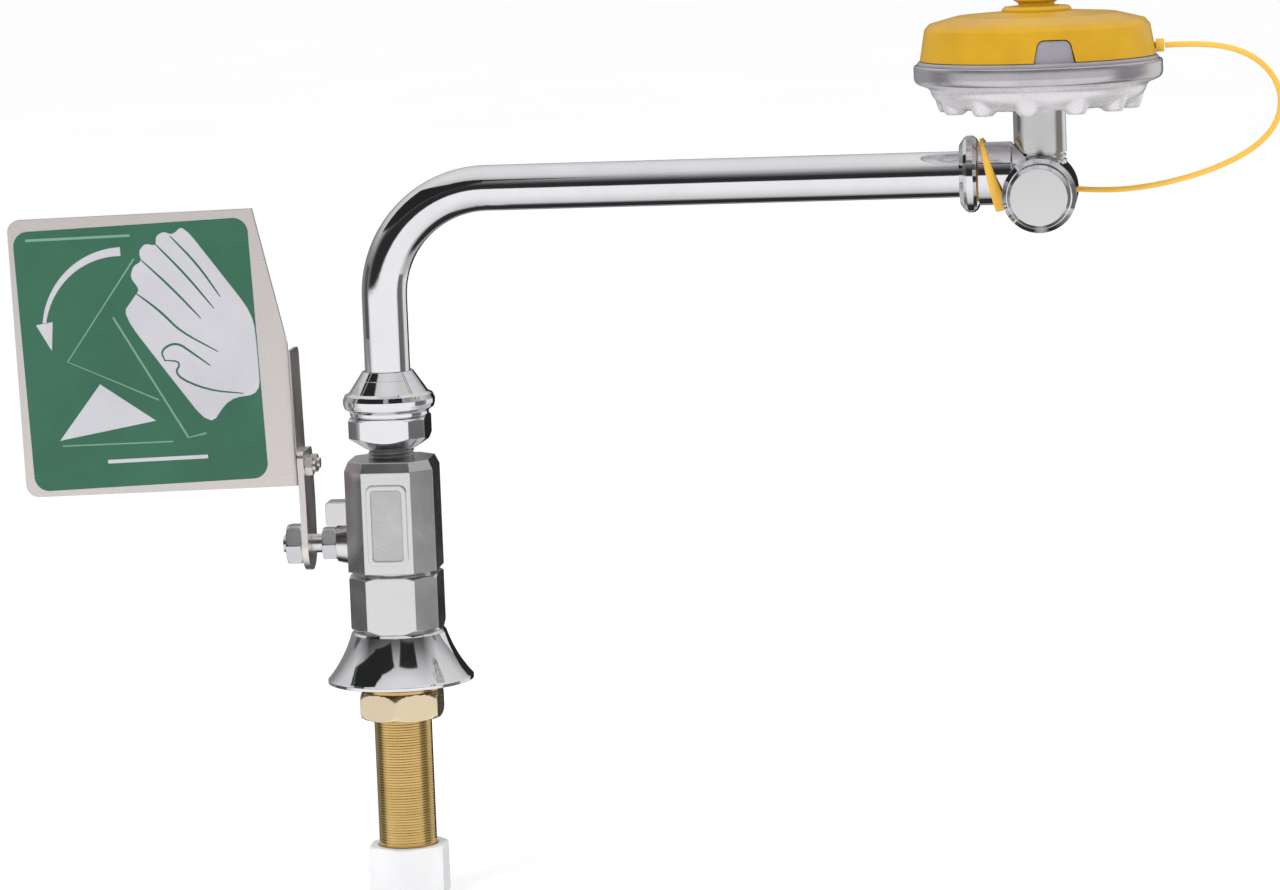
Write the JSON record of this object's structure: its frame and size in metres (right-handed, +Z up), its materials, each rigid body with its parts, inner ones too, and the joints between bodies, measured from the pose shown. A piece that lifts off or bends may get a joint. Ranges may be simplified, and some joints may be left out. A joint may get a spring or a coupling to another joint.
{
  "type": "deck-mounted eyewash station",
  "caption": "Deck-mounted eyewash: ball valve with a push flag, bent swivel spout and a twin-outlet head under a strapped lift-off dust cover.",
  "frame": {"origin": "on the column's axis at the deck plane, under the escutcheon's rim", "axes": "+Z up the column, +X along the spout towards the head, -Y the front, where the flag's label is"},
  "size_m": [0.5956, 0.1144, 0.4192],
  "materials": {
    "chrome_bright": "polished",
    "satin_plate": "satin",
    "raw_brass": "satin",
    "white_nylon": "matte",
    "seal_rubber": "matte",
    "steel_mesh": "woven",
    "seat_plastic": "matte",
    "stainless": "brushed",
    "label_film": "printed film",
    "head_finish": "satin plated",
    "head_plastic": "matte",
    "cover_plastic": "moulded",
    "strap_plastic": "moulded"
  },
  "bodies": {
    "base": {"shank": "raw_brass", "escutcheon": "chrome_bright", "deck_gasket": "seal_rubber", "clamp_washer": "raw_brass", "lock_nut": "raw_brass", "supply_nut": "white_nylon", "supply_washer": "seal_rubber", "inlet_strainer": "steel_mesh", "valve_end_piece": "satin_plate", "valve_body": "satin_plate", "upper_seat": "seat_plastic", "lower_seat": "seat_plastic", "body_seal": "seat_plastic", "stem_packing": "seat_plastic", "gland_nut": "satin_plate", "outlet_adapter": "chrome_bright", "spout_o_rings": "seal_rubber", "swivel_washer": "seat_plastic", "spout_nut": "chrome_bright"},
    "lever": {"ball": "chrome_bright", "stem": "satin_plate", "thrust_washer": "seat_plastic", "lever_bar": "stainless", "flag_plate": "stainless", "flag_label": "label_film", "flag_screws": "stainless", "flag_nuts": "stainless", "lever_lock_washer": "stainless", "handle_nut": "stainless"},
    "spout": {"spout_tube": "chrome_bright", "spout_collar": "chrome_bright", "spout_end_nut": "chrome_bright", "head_adapter": "chrome_bright", "elbow_body": "chrome_bright", "side_plug": "chrome_bright", "plug_o_ring": "seal_rubber", "head_nipple": "satin_plate", "flow_regulator": "seat_plastic", "filter_screen": "steel_mesh", "head_bowl": "head_finish", "head_plate": "head_plastic", "outlet_nozzles": "head_plastic", "head_gasket": "seal_rubber", "head_screws": "stainless", "strap_loop": "strap_plastic", "strap": "strap_plastic"},
    "cover": {"dust_cover": "cover_plastic", "cover_knob": "cover_plastic", "strap_anchor": "strap_plastic"}
  },
  "joints": [
    {"name": "lever_turn", "type": "hinge", "parent": "base", "child": "lever", "pos_m": [-0.04, 0, 0.066], "axis": [-1, 0, 0], "range_deg": [0, 90]},
    {"name": "spout_swivel", "type": "hinge", "parent": "base", "child": "spout", "pos_m": [0, 0, 0.13], "axis": [0, 0, 1], "range_deg": [-120, 120]},
    {"name": "cover_lift", "type": "slide", "parent": "spout", "child": "cover", "axis": [0, 0, 1], "range_m": [0, 0.05]}
  ]
}
